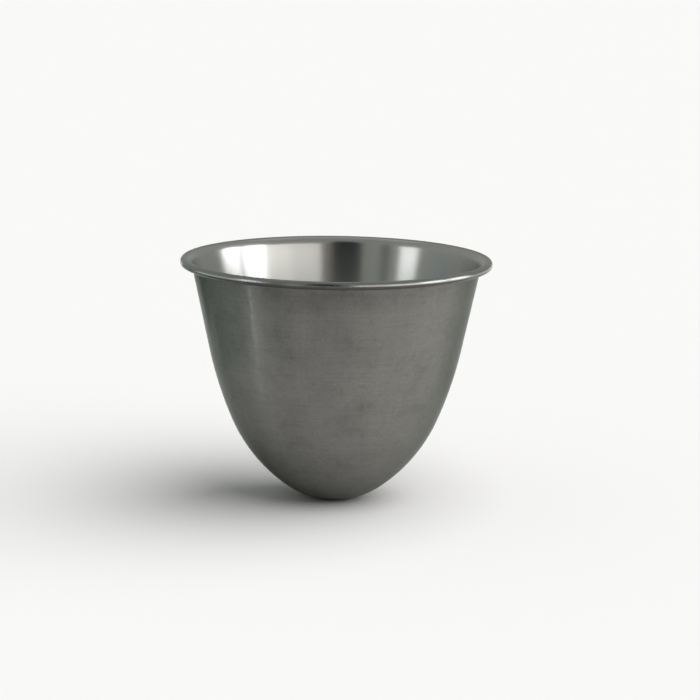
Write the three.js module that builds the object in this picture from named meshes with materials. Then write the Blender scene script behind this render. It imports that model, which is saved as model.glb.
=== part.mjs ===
// Stainless steel bowl: a deep round-bottomed shell of one thin sheet, bright inside and dull
// outside, whose flared lip is rolled over a ring of steel wire. Millimetres, +Z up, with the
// origin at the centre of the small flat that the bowl stands on.
import * as THREE from 'three';

// Sheet
const SHEET_THICKNESS = 0.5;

// Outline of the dull outside, from the bottom up. The sheet lies level at the axis, and each
// arc turns it further towards upright, in degrees.
const FLAT_DIAMETER = 14;
const CAP_RADIUS = 32.5;
const CAP_TURN = 36;
const BELLY_RADIUS = 63;
const BELLY_TURN = 31;
const SHOULDER_RADIUS = 150;
const SHOULDER_TURN = 11;
const WALL_LENGTH = 32.5;

// Lip: the flare lays the sheet level again, and the curl then rolls it down, in and up
// round the wire, in degrees.
const FLARE_RADIUS = 3.1;
const CURL_TURN = 270;
const WIRE_DIAMETER = 1.8;
const WIRE_CLEARANCE = 0.1;
const WIRE_END_GAP = 0.8;

// Facets
const TURN_STEPS = 72;
const CAP_STEPS = 4;
const BELLY_STEPS = 6;
const SHOULDER_STEPS = 3;
const FLARE_STEPS = 4;
const CURL_STEPS = 9;
const WIRE_SIDES = 10;

const radians = THREE.MathUtils.degToRad;

// The step of unit length from the dull side of the sheet to its bright side.
function acrossSheet(slope) {
  return new THREE.Vector2(-Math.sin(slope), Math.cos(slope));
}

// Follows the dull side of the sheet from the axis to its tucked-in edge, and returns the
// closed outline of the sheet with the centre of the curl, where the wire lies.
function sheetOutline() {
  const dullSide = [];
  const brightSide = [];
  let place = new THREE.Vector2(0, 0);
  let slope = 0;
  let bendCentre;

  function mark(across) {
    dullSide.push(place.clone());
    brightSide.push(place.clone().addScaledVector(across, SHEET_THICKNESS));
  }

  // A positive turn bends the sheet towards its bright side, a negative one away from it.
  function bend(radius, turn, steps) {
    const reach = radius * Math.sign(turn);
    const startSlope = slope;
    bendCentre = place.clone().addScaledVector(acrossSheet(slope), reach);
    for (let step = 1; step <= steps; step += 1) {
      slope = startSlope + (turn * step) / steps;
      place = bendCentre.clone().addScaledVector(acrossSheet(slope), -reach);
      mark(acrossSheet(slope));
    }
  }

  // Flat of the bottom, with a mitred edge where the round cap takes over.
  mark(acrossSheet(slope));
  place.x = FLAT_DIAMETER / 2;
  slope = Math.asin(FLAT_DIAMETER / 2 / CAP_RADIUS);
  mark(new THREE.Vector2(-Math.tan(slope / 2), 1));

  bend(CAP_RADIUS, radians(CAP_TURN) - slope, CAP_STEPS);
  bend(BELLY_RADIUS, radians(BELLY_TURN), BELLY_STEPS);
  bend(SHOULDER_RADIUS, radians(SHOULDER_TURN), SHOULDER_STEPS);

  // Straight upper wall
  place.x += WALL_LENGTH * Math.cos(slope);
  place.y += WALL_LENGTH * Math.sin(slope);
  mark(acrossSheet(slope));

  bend(FLARE_RADIUS, -slope, FLARE_STEPS);
  bend(WIRE_DIAMETER / 2 + WIRE_CLEARANCE, -radians(CURL_TURN), CURL_STEPS);

  return { outline: [...dullSide, ...brightSide.reverse()], wireSeat: bendCentre };
}

// Path of the wire: a level circle that stops short of closing by the gap between its ends.
class WirePath extends THREE.Curve {
  constructor(ringRadius, height, endGap) {
    super();
    this.ringRadius = ringRadius;
    this.height = height;
    this.gapAngle = endGap / ringRadius;
  }

  getPoint(share, target = new THREE.Vector3()) {
    const angle = this.gapAngle / 2 + share * (2 * Math.PI - this.gapAngle);
    const x = this.ringRadius * Math.cos(angle);
    const y = this.ringRadius * Math.sin(angle);
    return target.set(x, y, this.height);
  }
}

const { outline, wireSeat } = sheetOutline();

const bowlShell = new THREE.Mesh(
  new THREE.LatheGeometry(outline, TURN_STEPS),
  new THREE.MeshStandardMaterial({ color: 0x70716c, roughness: 0.38, metalness: 1 }),
);
bowlShell.name = 'bowl_shell';
bowlShell.rotation.x = Math.PI / 2;

const wireSection = new THREE.Shape(
  Array.from({ length: WIRE_SIDES }, (_, side) => {
    const angle = (2 * Math.PI * side) / WIRE_SIDES;
    return new THREE.Vector2(Math.cos(angle), Math.sin(angle)).multiplyScalar(WIRE_DIAMETER / 2);
  }),
);
const rimWire = new THREE.Mesh(
  new THREE.ExtrudeGeometry(wireSection, {
    extrudePath: new WirePath(wireSeat.x, wireSeat.y, WIRE_END_GAP),
    steps: TURN_STEPS,
  }),
  new THREE.MeshStandardMaterial({ color: 0x9a9b97, roughness: 0.45, metalness: 1 }),
);
rimWire.name = 'rim_wire';

const bowl = new THREE.Group();
bowl.add(bowlShell, rimWire);

export default bowl;
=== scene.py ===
import math

import bpy
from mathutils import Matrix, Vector


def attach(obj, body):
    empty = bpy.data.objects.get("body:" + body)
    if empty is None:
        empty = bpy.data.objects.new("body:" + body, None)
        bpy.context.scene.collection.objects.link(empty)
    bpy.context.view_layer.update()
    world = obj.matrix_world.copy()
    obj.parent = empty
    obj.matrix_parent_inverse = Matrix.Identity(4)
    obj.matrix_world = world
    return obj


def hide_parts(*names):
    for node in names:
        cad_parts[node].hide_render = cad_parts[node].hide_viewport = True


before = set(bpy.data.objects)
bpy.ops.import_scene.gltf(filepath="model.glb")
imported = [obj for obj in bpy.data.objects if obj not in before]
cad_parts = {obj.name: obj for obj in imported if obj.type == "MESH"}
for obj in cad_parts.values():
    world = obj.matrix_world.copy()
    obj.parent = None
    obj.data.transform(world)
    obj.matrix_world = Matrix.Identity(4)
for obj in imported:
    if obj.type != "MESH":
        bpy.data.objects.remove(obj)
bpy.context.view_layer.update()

MM = 0.001

# Sizes of the sheet, the same as in the solids
SHEET_THICKNESS = 0.5 * MM
FLAT_RADIUS = 7 * MM
CAP_RADIUS = 32.5 * MM
CAP_TURN = math.radians(36)
BELLY_RADIUS = 63 * MM
BELLY_TURN = math.radians(31)
SHOULDER_RADIUS = 150 * MM
SHOULDER_TURN = math.radians(11)
WALL_LENGTH = 32.5 * MM
FLARE_RADIUS = 3.1 * MM
CURL_RADIUS = 1.0 * MM
CURL_TURN = math.radians(270)

# Fineness of the spun sheet
SPIN_STEPS = 256
CAP_STEPS = 10
BELLY_STEPS = 20
SHOULDER_STEPS = 10
WALL_STEPS = 12
FLARE_STEPS = 14
CURL_STEPS = 30
FLAT_EDGE_SOFTENING = 1.0 * MM
FLAT_EDGE_SEGMENTS = 4
MERGE_DISTANCE = 0.001 * MM

# Where the finish changes: heights of the painted shade under the bead, radii of the bead,
# and how far up its rougher, painted-shade underside faces, where 1 is straight up
SHADE_UNDER_BEAD_BEGINS = 78 * MM
SHADE_UNDER_BEAD_IS_FULL = 91 * MM
BEAD_BEGINS = 56.5 * MM
BEAD_IS_FULL = 58 * MM
ROUGH_SHADED_UNDERSIDE_BEGINS = 0.14
ROUGH_SHADED_UNDERSIDE_IS_FULL = -0.3

# Finish of the steel. The film is the faint sheen on the dull outside.
DULL_COLOUR = (0.187, 0.184, 0.171)
DULL_EDGE_COLOUR = (0.44, 0.48, 0.45, 1)
DULL_TONE = 0.595
DULL_ROUGHNESS = 0.34
FILM_WEIGHT = 0.15
FILM_ROUGHNESS = 0.1
BRIGHT_COLOUR = (0.66, 0.66, 0.64)
BRIGHT_TONE = 1.0
BRIGHT_ROUGHNESS = 0.255
WIRE_COLOUR = (0.36, 0.36, 0.35)
WIRE_TONE = 1.0
WIRE_ROUGHNESS = 0.36
GLOSS_SPREAD = 0.8
QUARTER_TURN = 0.25
LINE_DEPTH = 0.004 * MM
LINE_STRENGTH = 0.3
LINE_DETAIL = 3.0
SMUDGE_DETAIL = 4.0
SMUDGE_BEGINS = 0.45
SMUDGE_IS_FULL = 0.75

# Floor and light of the studio, where a level of 1 is white. Light that bounces more than once in
# the bowl sees each card at the level of a plain room.
FLOOR_RADIUS = 10
FLOOR_SIDES = 64
FLOOR_DROP = 0.1 * MM
FLOOR_COLOUR = (0.92, 0.92, 0.92, 1)
FLOOR_ROUGHNESS = 0.9
AIR_COLOUR = (0.96, 1, 0.945)
AIR_LEVEL = 0.3
OVERHEAD_COLOUR = (1, 0.98, 0.985)
OVERHEAD_LEVEL = 2.95
OVERHEAD_WIDTH = math.radians(90)
OVERHEAD_TURN = (math.radians(6), math.radians(37), 0)
PLAIN_ROOM = 0.55
CARD_LIFT = 1 * MM

WHITE = (1, 1, 1)
SOFT_WHITE = (1, 0.99, 0.97)
WARM_WHITE = (1, 0.98, 0.94)
COOL_WHITE = (0.97, 0.99, 1)
PALE_BLUE = (0.95, 1, 1)
WARM_SHADE = (1, 0.85, 0.75)
COLD_SHADE = (0.4, 0.8, 1)
GREEN_SHADE = (0.8, 1, 0.88)

# Upright cards: name, distance, from and to angle, bottom, top, colour, level. The angles are in
# degrees to the right of the camera's line.
UPRIGHT_CARDS = [
    ("right_window_near_pane", 1.5, 64.5, 86.5, 0.18, 0.8, WHITE, 3.5),
    ("right_window_far_pane", 1.5, 90, 111, 0.1, 0.8, WHITE, 3.0),
    ("right_front_wall", 1.5, 38, 64.5, 0.02, 0.55, WARM_WHITE, 2.05),
    ("front_wall", 1.5, 13, 38, 0.02, 0.55, WARM_WHITE, 1.75),
    ("front_shade", 1.3, 4, 13, 0.02, 0.8, WARM_SHADE, 0.2),
    ("dark_flag", 1.3, -22, 4, 0.02, 1.8, COLD_SHADE, 0.01),
    ("left_front_shade", 1.4, -47, -39, 0.02, 0.8, PALE_BLUE, 0.1),
    ("left_strip", 1.4, -73, -56, 0.02, 0.55, COOL_WHITE, 2.25),
]

# Cards on the floor, outside the picture: name, from and to angle, near, far, colour, level
LYING_CARDS = [
    ("front_dark_card", -34, 34, 0.32, 0.95, WHITE, 0.0),
    ("left_front_dark_card", -66, -34, 0.2, 0.95, GREEN_SHADE, 0.13),
    ("left_dark_card", -120, -66, 0.165, 0.45, GREEN_SHADE, 0.36),
    ("left_pale_card", -110, -66, 0.45, 1.5, PALE_BLUE, 1.6),
    ("right_front_grey_card", 34, 66, 0.22, 0.95, SOFT_WHITE, 0.72),
    ("right_pale_card", 66, 115, 0.4, 1.5, WHITE, 1.5),
    ("left_back_card", -140, -120, 0.25, 1.2, GREEN_SHADE, 0.3),
    ("back_left_card", -152, -140, 0.38, 1.2, GREEN_SHADE, 0.3),
    ("far_left_dark_card", -152, -120, 1.2, 6.0, GREEN_SHADE, 0.04),
]

# Cards overhead: name, left, right, front, back, height, colour, level
OVERHEAD_CARDS = [
    ("ceiling_panel", -0.5, 0.5, 0.35, 1.05, 1.3, WHITE, 0.45),
    ("ceiling", -1.2, 1.2, -1.2, 1.2, 1.6, AIR_COLOUR, 0.26),
]

# Narrow lamp on the floor left of the picture, which draws the pale streak on the wall
TUBE_NEAR_END = Vector((-134, -61, 2)) * MM
TUBE_FAR_END = Vector((-192, -77.9, 2)) * MM
TUBE_HALF_WIDTH = Vector((0.3, -1.0, 0)) * MM
TUBE_LEVEL = 14.0

# Camera: its distance is from the bowl's middle, and it aims a little to the right of it and above it
IMAGE_WIDTH = 700
SENSOR_WIDTH = 36.0
FOCAL_PIXELS = 2580
CAMERA_DISTANCE = 1.0
CAMERA_ELEVATION = math.radians(11.45)
CAMERA_ROLL = math.radians(0.8)
BOWL_MIDDLE = Vector((0, 0, 45.2 * MM))
AIM_RIGHT = 5.7 * MM
AIM_UP = 12.5 * MM


def deselect_all():
    if bpy.context.object and bpy.context.object.mode != "OBJECT":
        bpy.ops.object.mode_set(mode="OBJECT")
    bpy.ops.object.select_all(action="DESELECT")


# The sheet


def across_sheet(slope):
    """Unit step from the dull side of the sheet to its bright side, in the plane of the profile."""
    return Vector((-math.sin(slope), math.cos(slope)))


def bend(places, slope, radius, turn, steps):
    """Adds the places along one bend and returns the slope after it. A positive turn bends the sheet
    towards its bright side, a negative one away from it."""
    reach = math.copysign(radius, turn)
    centre = places[-1] + across_sheet(slope) * reach
    for step in range(1, steps + 1):
        places.append(centre - across_sheet(slope + turn * step / steps) * reach)
    return slope + turn


def dull_side_profile():
    """Radius and height of the dull side, from the axis to the tucked-in edge of the curl."""
    places = [Vector((0, 0)), Vector((FLAT_RADIUS, 0))]
    slope = math.asin(FLAT_RADIUS / CAP_RADIUS)
    slope = bend(places, slope, CAP_RADIUS, CAP_TURN - slope, CAP_STEPS)
    slope = bend(places, slope, BELLY_RADIUS, BELLY_TURN, BELLY_STEPS)
    slope = bend(places, slope, SHOULDER_RADIUS, SHOULDER_TURN, SHOULDER_STEPS)
    wall_foot = places[-1]
    up_the_wall = Vector((math.cos(slope), math.sin(slope))) * WALL_LENGTH
    for step in range(1, WALL_STEPS + 1):
        places.append(wall_foot + up_the_wall * step / WALL_STEPS)
    slope = bend(places, slope, FLARE_RADIUS, -slope, FLARE_STEPS)
    bend(places, slope, CURL_RADIUS, -CURL_TURN, CURL_STEPS)
    return places


def make_bowl():
    """Draws the dull side as a line, spins it round the axis and gives the sheet its thickness."""
    deselect_all()
    bpy.ops.mesh.primitive_plane_add(size=FLAT_RADIUS, location=(0, 0, 0))
    bowl = bpy.context.object
    bowl.name = bowl.data.name = "bowl"
    bpy.ops.object.mode_set(mode="EDIT")
    bpy.ops.mesh.select_all(action="SELECT")
    bpy.ops.mesh.merge(type="CENTER")
    places = dull_side_profile()
    for last, place in zip(places, places[1:]):
        step = place - last
        bpy.ops.mesh.extrude_region_move(TRANSFORM_OT_translate={"value": (step.x, 0, step.y)})
    bpy.ops.mesh.select_all(action="SELECT")
    bpy.ops.mesh.spin(steps=SPIN_STEPS, angle=math.tau, center=(0, 0, 0), axis=(0, 0, 1))
    bpy.ops.mesh.select_all(action="SELECT")
    bpy.ops.mesh.remove_doubles(threshold=MERGE_DISTANCE)
    soften_flat_edge(bowl)
    bpy.ops.mesh.select_all(action="SELECT")
    bpy.ops.mesh.normals_make_consistent(inside=True)
    bpy.ops.object.mode_set(mode="OBJECT")
    thicken(bowl)
    bpy.ops.object.shade_smooth()
    return bowl


def thicken(bowl):
    """Gives the sheet its thickness, dull on the drawn side and bright on the other and on its edge."""
    thickness = bowl.modifiers.new("sheet", "SOLIDIFY")
    thickness.thickness = SHEET_THICKNESS
    thickness.offset = -1
    thickness.use_even_offset = True
    thickness.material_offset = 1
    thickness.material_offset_rim = 1
    bowl.data.materials.append(dull_outside())
    bowl.data.materials.append(bright_inside())
    bpy.ops.object.modifier_apply(modifier=thickness.name)


def soften_flat_edge(bowl):
    """Rounds the ring where the pressed flat meets the round bottom."""
    bpy.ops.mesh.select_all(action="DESELECT")
    bpy.ops.mesh.select_mode(type="EDGE")
    bpy.ops.object.mode_set(mode="OBJECT")
    points = bowl.data.vertices
    for edge in bowl.data.edges:
        ends = [points[i].co for i in edge.vertices]
        edge.select = all(abs(end.xy.length - FLAT_RADIUS) < MERGE_DISTANCE for end in ends)
    bpy.ops.object.mode_set(mode="EDIT")
    bpy.ops.mesh.bevel(offset=FLAT_EDGE_SOFTENING, segments=FLAT_EDGE_SEGMENTS, affect="EDGES")


# Materials


def nodes_of(tree):
    """Short ways to add a node and to link two sockets in one node tree."""

    def add(kind, **values):
        node = tree.nodes.new(kind)
        for name, value in values.items():
            setattr(node, name, value)
        return node

    return add, tree.links.new


def new_material(name):
    material = bpy.data.materials.new(name)
    material.use_nodes = True
    return material, material.node_tree.nodes["Principled BSDF"]


def new_group(name, numbers, output):
    """A shader node group that takes a place and some numbers and puts out one value."""
    group = bpy.data.node_groups.new(name, "ShaderNodeTree")
    group.interface.new_socket("Place", in_out="INPUT", socket_type="NodeSocketVector")
    for label, value in numbers.items():
        socket = group.interface.new_socket(label, in_out="INPUT", socket_type="NodeSocketFloat")
        socket.default_value = value
    group.interface.new_socket(output, in_out="OUTPUT", socket_type="NodeSocketFloat")
    add, _ = nodes_of(group)
    return group, add("NodeGroupInput").outputs, add("NodeGroupOutput").inputs[output]


def place_on_object(tree):
    add, _ = nodes_of(tree)
    return add("ShaderNodeTexCoord").outputs["Object"]


def level_and_height(tree, place):
    """Splits a place into its level part, with no height, and its height."""
    add, link = nodes_of(tree)
    level = add("ShaderNodeVectorMath", operation="MULTIPLY")
    level.inputs[1].default_value = (1, 1, 0)
    link(place, level.inputs[0])
    parts = add("ShaderNodeSeparateXYZ")
    link(place, parts.inputs[0])
    return level.outputs[0], parts.outputs["Z"]


def distance_from_axis(tree, level):
    add, link = nodes_of(tree)
    distance = add("ShaderNodeVectorMath", operation="LENGTH")
    link(level, distance.inputs[0])
    return distance.outputs["Value"]


def raised(tree, level, height, level_scale, height_scale):
    """Puts a scaled level part and a scaled height together into one place."""
    add, link = nodes_of(tree)
    wide = add("ShaderNodeVectorMath", operation="SCALE")
    link(level, wide.inputs[0])
    link(level_scale, wide.inputs["Scale"])
    tall = add("ShaderNodeMath", operation="MULTIPLY")
    link(height, tall.inputs[0])
    link(height_scale, tall.inputs[1])
    upright = add("ShaderNodeCombineXYZ")
    link(tall.outputs[0], upright.inputs["Z"])
    place = add("ShaderNodeVectorMath", operation="ADD")
    link(wide.outputs[0], place.inputs[0])
    link(upright.outputs[0], place.inputs[1])
    return place.outputs[0]


def noise_at(tree, place, detail):
    add, link = nodes_of(tree)
    noise = add("ShaderNodeTexNoise", noise_dimensions="3D")
    noise.inputs["Scale"].default_value = 1.0
    noise.inputs["Detail"].default_value = detail
    link(place, noise.inputs["Vector"])
    return noise.outputs["Fac"]


def rising(tree, value, begins, is_full):
    """A mask that rises softly from 0, where the value begins to count, to 1."""
    add, link = nodes_of(tree)
    share = add("ShaderNodeMapRange", interpolation_type="SMOOTHSTEP")
    share.inputs["From Min"].default_value = begins
    share.inputs["From Max"].default_value = is_full
    link(value, share.inputs["Value"])
    return share.outputs["Result"]


def spun_lines_group():
    """Fine lines that run round the axis, as the spinning tool leaves them on the sheet."""
    group, given, line = new_group("spun_lines", {"Fineness": 3000.0, "Break Up": 25.0}, "Line")
    add, link = nodes_of(group)
    level, height = level_and_height(group, given["Place"])
    climb = add("ShaderNodeMath", operation="ADD")
    link(distance_from_axis(group, level), climb.inputs[0])
    link(height, climb.inputs[1])
    place = raised(group, level, climb.outputs[0], given["Break Up"], given["Fineness"])
    link(noise_at(group, place, LINE_DETAIL), line)
    return group


def wiping_group():
    """Faint streaks up and down the wall, as a cloth leaves them."""
    group, given, streak = new_group("wiping_streaks", {"Fineness": 30.0, "Length": 15.0}, "Streak")
    add, link = nodes_of(group)
    level, height = level_and_height(group, given["Place"])
    round_place = add("ShaderNodeVectorMath", operation="NORMALIZE")
    link(level, round_place.inputs[0])
    place = raised(group, round_place.outputs[0], height, given["Fineness"], given["Length"])
    link(noise_at(group, place, LINE_DETAIL), streak)
    return group


def handling_group():
    """Soft dull blotches where the bowl was held."""
    group, given, smudge = new_group("handling_marks", {"Scale": 60.0}, "Smudge")
    add, link = nodes_of(group)
    place = add("ShaderNodeVectorMath", operation="SCALE")
    link(given["Place"], place.inputs[0])
    link(given["Scale"], place.inputs["Scale"])
    blotch = noise_at(group, place.outputs[0], SMUDGE_DETAIL)
    link(rising(group, blotch, SMUDGE_BEGINS, SMUDGE_IS_FULL), smudge)
    return group


spun_lines = spun_lines_group()
wiping_streaks = wiping_group()
handling_marks = handling_group()


def marked(tree, group, **numbers):
    """Value of a group of marks at the place on the object."""
    add, link = nodes_of(tree)
    node = add("ShaderNodeGroup", node_tree=group)
    link(place_on_object(tree), node.inputs["Place"])
    for label, number in numbers.items():
        node.inputs[label.replace("_", " ")].default_value = number
    return node.outputs[0]


def weighed(tree, base, marks):
    """A number to which weighted marks are added."""
    add, link = nodes_of(tree)
    total = add("ShaderNodeValue").outputs[0]
    total.default_value = base
    for mark, weight in marks:
        step = add("ShaderNodeMath", operation="MULTIPLY_ADD")
        link(mark, step.inputs[0])
        step.inputs[1].default_value = weight
        link(total, step.inputs[2])
        total = step.outputs[0]
    return total


def shaded(tree, colour, tone):
    add, link = nodes_of(tree)
    node = add("ShaderNodeVectorMath", operation="SCALE")
    node.inputs[0].default_value = colour
    link(tone, node.inputs["Scale"])
    return node.outputs[0]


def bumped(tree, height, distance, strength):
    add, link = nodes_of(tree)
    node = add("ShaderNodeBump")
    node.inputs["Distance"].default_value = distance
    node.inputs["Strength"].default_value = strength
    link(height, node.inputs["Height"])
    return node.outputs["Normal"]


def painted_shade_under_bead(tree):
    """1 on the wall right under the bead, for a painted shade that fades out down the wall."""
    _, height = level_and_height(tree, place_on_object(tree))
    return rising(tree, height, SHADE_UNDER_BEAD_BEGINS, SHADE_UNDER_BEAD_IS_FULL)


def rolled_bead(tree):
    """1 on the bead, which rolling left a little darker, and 0 inside the bowl."""
    level, _ = level_and_height(tree, place_on_object(tree))
    return rising(tree, distance_from_axis(tree, level), BEAD_BEGINS, BEAD_IS_FULL)


def rough_shaded_bead_underside(tree):
    """1 on the bead's underside, rougher and darkened by painted shade, and 0 on what faces up."""
    add, link = nodes_of(tree)
    facing = add("ShaderNodeSeparateXYZ")
    link(add("ShaderNodeTexCoord").outputs["Normal"], facing.inputs[0])
    return rising(tree, facing.outputs["Z"], ROUGH_SHADED_UNDERSIDE_BEGINS, ROUGH_SHADED_UNDERSIDE_IS_FULL)


def spread_gloss(tree, shader):
    """Spreads reflections across the spun lines, up and down the wall."""
    add, link = nodes_of(tree)
    round_the_axis = add("ShaderNodeTangent", direction_type="RADIAL", axis="Z")
    link(round_the_axis.outputs[0], shader.inputs["Tangent"])
    shader.inputs["Anisotropic"].default_value = GLOSS_SPREAD
    shader.inputs["Anisotropic Rotation"].default_value = QUARTER_TURN


def dull_outside():
    material, shader = new_material("dull_outside")
    tree = material.node_tree
    _, link = nodes_of(tree)
    lines = marked(tree, spun_lines, Fineness=4000, Break_Up=30)
    rings = marked(tree, spun_lines, Fineness=1000, Break_Up=45)
    grain = marked(tree, spun_lines, Fineness=1800, Break_Up=1400)
    streaks = marked(tree, wiping_streaks, Fineness=26, Length=12)
    smudges = marked(tree, handling_marks, Scale=75)
    mottle = marked(tree, handling_marks, Scale=330)
    # Painted shade: the wall just under the bead is darkened, fading out down the wall.
    shade_under_bead = painted_shade_under_bead(tree)
    marks = [
        (lines, 0.12),
        (rings, 0.24),
        (grain, 0.5),
        (streaks, 0.11),
        (mottle, -0.1),
        (smudges, -0.13),
        (shade_under_bead, -0.15),
    ]
    tone = weighed(tree, DULL_TONE, marks)
    roughness = weighed(tree, DULL_ROUGHNESS, [(lines, 0.04), (smudges, 0.05)])
    link(shaded(tree, DULL_COLOUR, tone), shader.inputs["Base Color"])
    link(roughness, shader.inputs["Roughness"])
    link(bumped(tree, lines, LINE_DEPTH, LINE_STRENGTH), shader.inputs["Normal"])
    spread_gloss(tree, shader)
    shader.inputs["Metallic"].default_value = 1.0
    shader.inputs["Specular Tint"].default_value = DULL_EDGE_COLOUR
    shader.inputs["Coat Weight"].default_value = FILM_WEIGHT
    shader.inputs["Coat Roughness"].default_value = FILM_ROUGHNESS
    return material


def bright_inside():
    material, shader = new_material("bright_inside")
    tree = material.node_tree
    _, link = nodes_of(tree)
    smudges = marked(tree, handling_marks, Scale=40)
    bead = rolled_bead(tree)
    rough_shaded_underside = rough_shaded_bead_underside(tree)
    # Painted shade darkens the bead's underside; the added roughness there is a duller finish.
    tone = weighed(tree, BRIGHT_TONE, [(smudges, -0.03), (bead, -0.35), (rough_shaded_underside, -0.51)])
    roughness = weighed(tree, BRIGHT_ROUGHNESS, [(smudges, 0.03), (rough_shaded_underside, 0.08)])
    link(shaded(tree, BRIGHT_COLOUR, tone), shader.inputs["Base Color"])
    link(roughness, shader.inputs["Roughness"])
    spread_gloss(tree, shader)
    shader.inputs["Metallic"].default_value = 1.0
    return material


def drawn_wire():
    material, shader = new_material("drawn_wire")
    tree = material.node_tree
    _, link = nodes_of(tree)
    grain = marked(tree, handling_marks, Scale=900)
    smudges = marked(tree, handling_marks, Scale=90)
    tone = weighed(tree, WIRE_TONE, [(grain, -0.15), (smudges, -0.2)])
    roughness = weighed(tree, WIRE_ROUGHNESS, [(smudges, 0.12)])
    link(shaded(tree, WIRE_COLOUR, tone), shader.inputs["Base Color"])
    link(roughness, shader.inputs["Roughness"])
    shader.inputs["Metallic"].default_value = 1.0
    return material


# Studio


def make_air():
    """Even light from all round."""
    world = bpy.data.worlds.new("studio")
    bpy.context.scene.world = world
    world.use_nodes = True
    air = world.node_tree.nodes["Background"]
    air.inputs["Color"].default_value = (*AIR_COLOUR, 1)
    air.inputs["Strength"].default_value = AIR_LEVEL


def make_floor():
    deselect_all()
    bpy.ops.mesh.primitive_circle_add(
        vertices=FLOOR_SIDES, radius=FLOOR_RADIUS, fill_type="NGON", location=(0, 0, -FLOOR_DROP)
    )
    floor = bpy.context.object
    floor.name = "floor"
    material, shader = new_material("pale_floor")
    shader.inputs["Base Color"].default_value = FLOOR_COLOUR
    shader.inputs["Roughness"].default_value = FLOOR_ROUGHNESS
    shader.inputs["Specular IOR Level"].default_value = 0.0
    floor.data.materials.append(material)


def make_overhead_light():
    """A broad lamp that lights the floor round the bowl's soft shadow and doesn't show in the steel."""
    data = bpy.data.lights.new("overhead_light", "SUN")
    data.energy = OVERHEAD_LEVEL
    data.color = OVERHEAD_COLOUR
    data.angle = OVERHEAD_WIDTH
    lamp = bpy.data.objects.new("overhead_light", data)
    lamp.rotation_euler = OVERHEAD_TURN
    lamp.visible_glossy = False
    bpy.context.scene.collection.objects.link(lamp)


def card_glow(name, colour, level):
    """Light of a card: its own where light leaves the steel once, and that of a plain room where
    light bounces on inside the bowl."""
    material = bpy.data.materials.new(name)
    material.use_nodes = True
    tree = material.node_tree
    tree.nodes.clear()
    add, link = nodes_of(tree)
    glow = add("ShaderNodeEmission")
    glow.inputs["Color"].default_value = (*colour, 1)
    by_bounce = add("ShaderNodeMapRange")
    by_bounce.inputs["From Min"].default_value = 1
    by_bounce.inputs["From Max"].default_value = 2
    by_bounce.inputs["To Min"].default_value = level
    by_bounce.inputs["To Max"].default_value = PLAIN_ROOM
    link(add("ShaderNodeLightPath").outputs["Ray Depth"], by_bounce.inputs["Value"])
    link(by_bounce.outputs["Result"], glow.inputs["Strength"])
    link(glow.outputs[0], add("ShaderNodeOutputMaterial").inputs["Surface"])
    return material


def stage_card(name, corners, colour, level):
    """A flat glowing or black card that shows only in the steel."""
    mesh = bpy.data.meshes.new(name)
    mesh.from_pydata(corners, [], [(0, 1, 2, 3)])
    mesh.materials.append(card_glow(name, colour, level))
    card = bpy.data.objects.new(name, mesh)
    bpy.context.scene.collection.objects.link(card)
    card.visible_camera = False
    card.visible_diffuse = False
    card.visible_shadow = False


def place_round_bowl(angle, distance, height):
    turn = math.radians(angle)
    return (distance * math.sin(turn), -distance * math.cos(turn), height)


def upright_card(name, distance, from_angle, to_angle, bottom, top, colour, level):
    corners = [
        place_round_bowl(from_angle, distance, bottom),
        place_round_bowl(to_angle, distance, bottom),
        place_round_bowl(to_angle, distance, top),
        place_round_bowl(from_angle, distance, top),
    ]
    stage_card(name, corners, colour, level)


def lying_card(name, from_angle, to_angle, near, far, colour, level):
    corners = [
        place_round_bowl(from_angle, near, CARD_LIFT),
        place_round_bowl(to_angle, near, CARD_LIFT),
        place_round_bowl(to_angle, far, CARD_LIFT),
        place_round_bowl(from_angle, far, CARD_LIFT),
    ]
    stage_card(name, corners, colour, level)


def overhead_card(name, left, right, front, back, height, colour, level):
    corners = [
        (left, front, height),
        (left, back, height),
        (right, back, height),
        (right, front, height),
    ]
    stage_card(name, corners, colour, level)


def tube_lamp():
    corners = [
        TUBE_NEAR_END - TUBE_HALF_WIDTH,
        TUBE_NEAR_END + TUBE_HALF_WIDTH,
        TUBE_FAR_END + TUBE_HALF_WIDTH,
        TUBE_FAR_END - TUBE_HALF_WIDTH,
    ]
    stage_card("left_tube_lamp", corners, COOL_WHITE, TUBE_LEVEL)


def make_studio():
    make_air()
    make_floor()
    make_overhead_light()
    for card in UPRIGHT_CARDS:
        upright_card(*card)
    for card in LYING_CARDS:
        lying_card(*card)
    for card in OVERHEAD_CARDS:
        overhead_card(*card)
    tube_lamp()


def make_camera():
    data = bpy.data.cameras.new("camera")
    data.sensor_width = SENSOR_WIDTH
    data.lens = FOCAL_PIXELS * SENSOR_WIDTH / IMAGE_WIDTH
    camera = bpy.data.objects.new("camera", data)
    bpy.context.scene.collection.objects.link(camera)
    back = Vector((0, -math.cos(CAMERA_ELEVATION), math.sin(CAMERA_ELEVATION)))
    up = Vector((0, math.sin(CAMERA_ELEVATION), math.cos(CAMERA_ELEVATION)))
    camera.location = BOWL_MIDDLE + back * CAMERA_DISTANCE
    aim = BOWL_MIDDLE + up * AIM_UP + Vector((AIM_RIGHT, 0, 0))
    look = (aim - camera.location).to_track_quat("-Z", "Y")
    camera.rotation_euler = look.to_euler()
    camera.rotation_euler.rotate_axis("Z", CAMERA_ROLL)
    bpy.context.scene.camera = camera


bowl = make_bowl()
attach(bowl, "root")
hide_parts("bowl_shell")
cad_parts["rim_wire"].material_slots[0].material = drawn_wire()

make_studio()
make_camera()
bpy.context.scene.view_settings.view_transform = "Standard"
